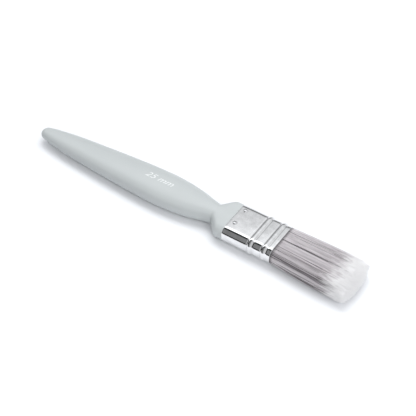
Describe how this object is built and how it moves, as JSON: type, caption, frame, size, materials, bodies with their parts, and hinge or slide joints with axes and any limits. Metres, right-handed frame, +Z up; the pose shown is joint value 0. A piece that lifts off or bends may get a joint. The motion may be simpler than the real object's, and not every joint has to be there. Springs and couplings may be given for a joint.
{
  "type": "paint brush",
  "caption": "Flat decorator's paint brush: waisted plastic handle, beaded steel ferrule with rivets, and a chisel-trimmed tuft of synthetic filaments.",
  "frame": {"origin": "on the surface that the brush lies on, under the middle of its bounding box", "axes": "+X along the brush towards the filament tips, +Y across its width, +Z up through its thickness"},
  "size_m": [0.2293, 0.0312, 0.0124],
  "materials": {
    "handle_plastic": "satin light grey injection moulding",
    "plated_steel": "nickel-plated sheet, softly brushed",
    "rivet_steel": "plated, domed head",
    "resin": "cast epoxy, amber",
    "spacer": "pressed board",
    "filament": "tapered polyester filament, pale flagged tips"
  },
  "bodies": {
    "brush": {"handle": "handle_plastic", "ferrule": "plated_steel", "rivets": "rivet_steel", "setting": "resin", "spacer_plug": "spacer", "filament_roots_upper": "filament", "filament_roots_lower": "filament"},
    "filaments": {"filament_lock_upper_1": "filament", "filament_lock_upper_2": "filament", "filament_lock_upper_3": "filament", "filament_lock_upper_4": "filament", "filament_lock_upper_5": "filament", "filament_lock_upper_6": "filament", "filament_lock_lower_1": "filament", "filament_lock_lower_2": "filament", "filament_lock_lower_3": "filament", "filament_lock_lower_4": "filament", "filament_lock_lower_5": "filament", "filament_lock_lower_6": "filament"}
  },
  "joints": [
    {"name": "filament_flex", "type": "hinge", "parent": "brush", "child": "filaments", "pos_m": [0.0671, 0.00127, 0.0062], "axis": [0, 1, 0], "range_deg": [-30, 30], "stiffness_Nm_per_rad": 0.35}
  ]
}
